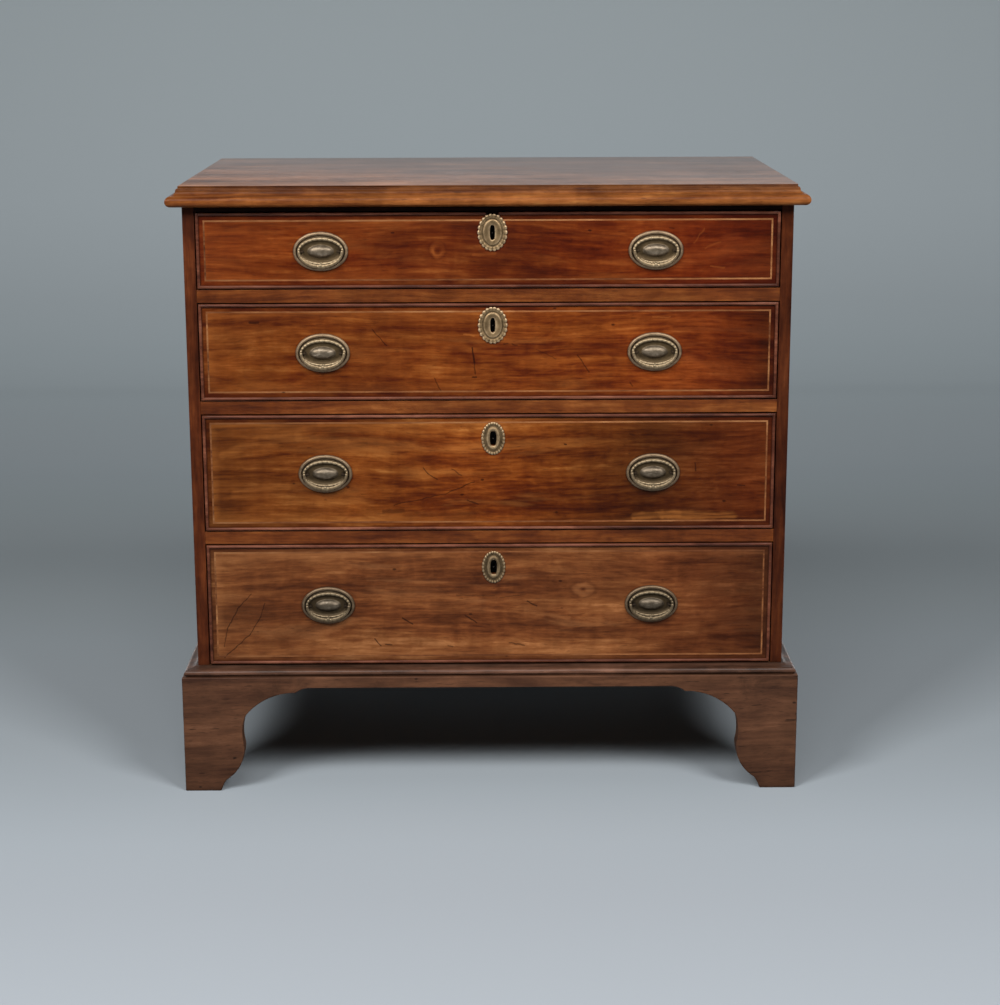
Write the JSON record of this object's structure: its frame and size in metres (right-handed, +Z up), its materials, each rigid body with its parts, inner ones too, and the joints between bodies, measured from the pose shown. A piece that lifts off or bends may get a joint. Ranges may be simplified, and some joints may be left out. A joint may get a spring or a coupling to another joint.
{
  "type": "bachelors chest",
  "caption": "Bachelor's chest of drawers in mahogany: caddy-moulded top, graduated cockbeaded drawers with bail handles and locks, on a plinth with bracket feet.",
  "frame": {"origin": "on the floor, in the middle of the chest's footprint", "axes": "+Z up, drawers face -Y, +X to the right of someone standing in front"},
  "size_m": [0.862, 0.518, 0.848],
  "materials": {
    "mahogany_top": "satin wax polish over worn, greyed mahogany",
    "mahogany_case": "satin, dark",
    "mahogany_front": "satin, warm red-brown figure",
    "mahogany_bead": "satin",
    "boxwood": "satin",
    "oak": "dry, unpolished",
    "pine": "dry, unpolished",
    "aged_brass": "old lacquer, darkened in the recesses",
    "iron": "dull"
  },
  "bodies": {
    "carcase": {"top_board": "mahogany_top", "case_side_left": "mahogany_case", "case_side_right": "mahogany_case", "case_bottom": "pine", "top_rail_front": "mahogany_case", "top_rail_rear": "pine", "drawer_divider_1": "mahogany_case", "drawer_divider_2": "mahogany_case", "drawer_divider_3": "mahogany_case", "drawer_runners": "pine", "dustboards": "pine", "drawer_stops": "pine", "back_boards": "pine", "base_moulding_front": "mahogany_case", "base_moulding_sides": "mahogany_case", "plinth_front": "mahogany_case", "plinth_left": "mahogany_case", "plinth_right": "mahogany_case", "rear_foot_brackets": "pine", "glue_blocks": "pine"},
    "drawer_1": {"drawer_1_front": "mahogany_front", "drawer_1_cockbeads": "mahogany_bead", "drawer_1_stringing": "boxwood", "drawer_1_sides": "oak", "drawer_1_bottom": "oak", "drawer_1_brasses": "aged_brass", "drawer_1_lock": "iron"},
    "drawer_1_bail_left": {"drawer_1_bail_left": "aged_brass"},
    "drawer_1_bail_right": {"drawer_1_bail_right": "aged_brass"},
    "drawer_1_bolt": {"drawer_1_lock_bolt": "iron"},
    "drawer_2": {"drawer_2_front": "mahogany_front", "drawer_2_cockbeads": "mahogany_bead", "drawer_2_stringing": "boxwood", "drawer_2_sides": "oak", "drawer_2_bottom": "oak", "drawer_2_brasses": "aged_brass", "drawer_2_lock": "iron"},
    "drawer_2_bail_left": {"drawer_2_bail_left": "aged_brass"},
    "drawer_2_bail_right": {"drawer_2_bail_right": "aged_brass"},
    "drawer_2_bolt": {"drawer_2_lock_bolt": "iron"},
    "drawer_3": {"drawer_3_front": "mahogany_front", "drawer_3_cockbeads": "mahogany_bead", "drawer_3_stringing": "boxwood", "drawer_3_sides": "oak", "drawer_3_bottom": "oak", "drawer_3_brasses": "aged_brass", "drawer_3_lock": "iron"},
    "drawer_3_bail_left": {"drawer_3_bail_left": "aged_brass"},
    "drawer_3_bail_right": {"drawer_3_bail_right": "aged_brass"},
    "drawer_3_bolt": {"drawer_3_lock_bolt": "iron"},
    "drawer_4": {"drawer_4_front": "mahogany_front", "drawer_4_cockbeads": "mahogany_bead", "drawer_4_stringing": "boxwood", "drawer_4_sides": "oak", "drawer_4_bottom": "oak", "drawer_4_brasses": "aged_brass", "drawer_4_lock": "iron"},
    "drawer_4_bail_left": {"drawer_4_bail_left": "aged_brass"},
    "drawer_4_bail_right": {"drawer_4_bail_right": "aged_brass"},
    "drawer_4_bolt": {"drawer_4_lock_bolt": "iron"}
  },
  "joints": [
    {"name": "drawer_1_slide", "type": "slide", "parent": "carcase", "child": "drawer_1", "axis": [0, -1, 0], "range_m": [0, 0.38]},
    {"name": "drawer_1_bail_left_swing", "type": "hinge", "parent": "drawer_1", "child": "drawer_1_bail_left", "pos_m": [-0.2255, -0.2447, 0.76], "axis": [-1, 0, 0], "range_deg": [0, 175]},
    {"name": "drawer_1_bail_right_swing", "type": "hinge", "parent": "drawer_1", "child": "drawer_1_bail_right", "pos_m": [0.2255, -0.2447, 0.76], "axis": [-1, 0, 0], "range_deg": [0, 175]},
    {"name": "drawer_1_bolt_slide", "type": "slide", "parent": "drawer_1", "child": "drawer_1_bolt", "axis": [0, 0, 1], "range_m": [0, 0.009]},
    {"name": "drawer_2_slide", "type": "slide", "parent": "carcase", "child": "drawer_2", "axis": [0, -1, 0], "range_m": [0, 0.38]},
    {"name": "drawer_2_bail_left_swing", "type": "hinge", "parent": "drawer_2", "child": "drawer_2_bail_left", "pos_m": [-0.2255, -0.2447, 0.622], "axis": [-1, 0, 0], "range_deg": [0, 175]},
    {"name": "drawer_2_bail_right_swing", "type": "hinge", "parent": "drawer_2", "child": "drawer_2_bail_right", "pos_m": [0.2255, -0.2447, 0.622], "axis": [-1, 0, 0], "range_deg": [0, 175]},
    {"name": "drawer_2_bolt_slide", "type": "slide", "parent": "drawer_2", "child": "drawer_2_bolt", "axis": [0, 0, 1], "range_m": [0, 0.009]},
    {"name": "drawer_3_slide", "type": "slide", "parent": "carcase", "child": "drawer_3", "axis": [0, -1, 0], "range_m": [0, 0.38]},
    {"name": "drawer_3_bail_left_swing", "type": "hinge", "parent": "drawer_3", "child": "drawer_3_bail_left", "pos_m": [-0.2255, -0.2447, 0.454], "axis": [-1, 0, 0], "range_deg": [0, 175]},
    {"name": "drawer_3_bail_right_swing", "type": "hinge", "parent": "drawer_3", "child": "drawer_3_bail_right", "pos_m": [0.2255, -0.2447, 0.454], "axis": [-1, 0, 0], "range_deg": [0, 175]},
    {"name": "drawer_3_bolt_slide", "type": "slide", "parent": "drawer_3", "child": "drawer_3_bolt", "axis": [0, 0, 1], "range_m": [0, 0.009]},
    {"name": "drawer_4_slide", "type": "slide", "parent": "carcase", "child": "drawer_4", "axis": [0, -1, 0], "range_m": [0, 0.38]},
    {"name": "drawer_4_bail_left_swing", "type": "hinge", "parent": "drawer_4", "child": "drawer_4_bail_left", "pos_m": [-0.2255, -0.2447, 0.266], "axis": [-1, 0, 0], "range_deg": [0, 175]},
    {"name": "drawer_4_bail_right_swing", "type": "hinge", "parent": "drawer_4", "child": "drawer_4_bail_right", "pos_m": [0.2255, -0.2447, 0.266], "axis": [-1, 0, 0], "range_deg": [0, 175]},
    {"name": "drawer_4_bolt_slide", "type": "slide", "parent": "drawer_4", "child": "drawer_4_bolt", "axis": [0, 0, 1], "range_m": [0, 0.009]}
  ]
}
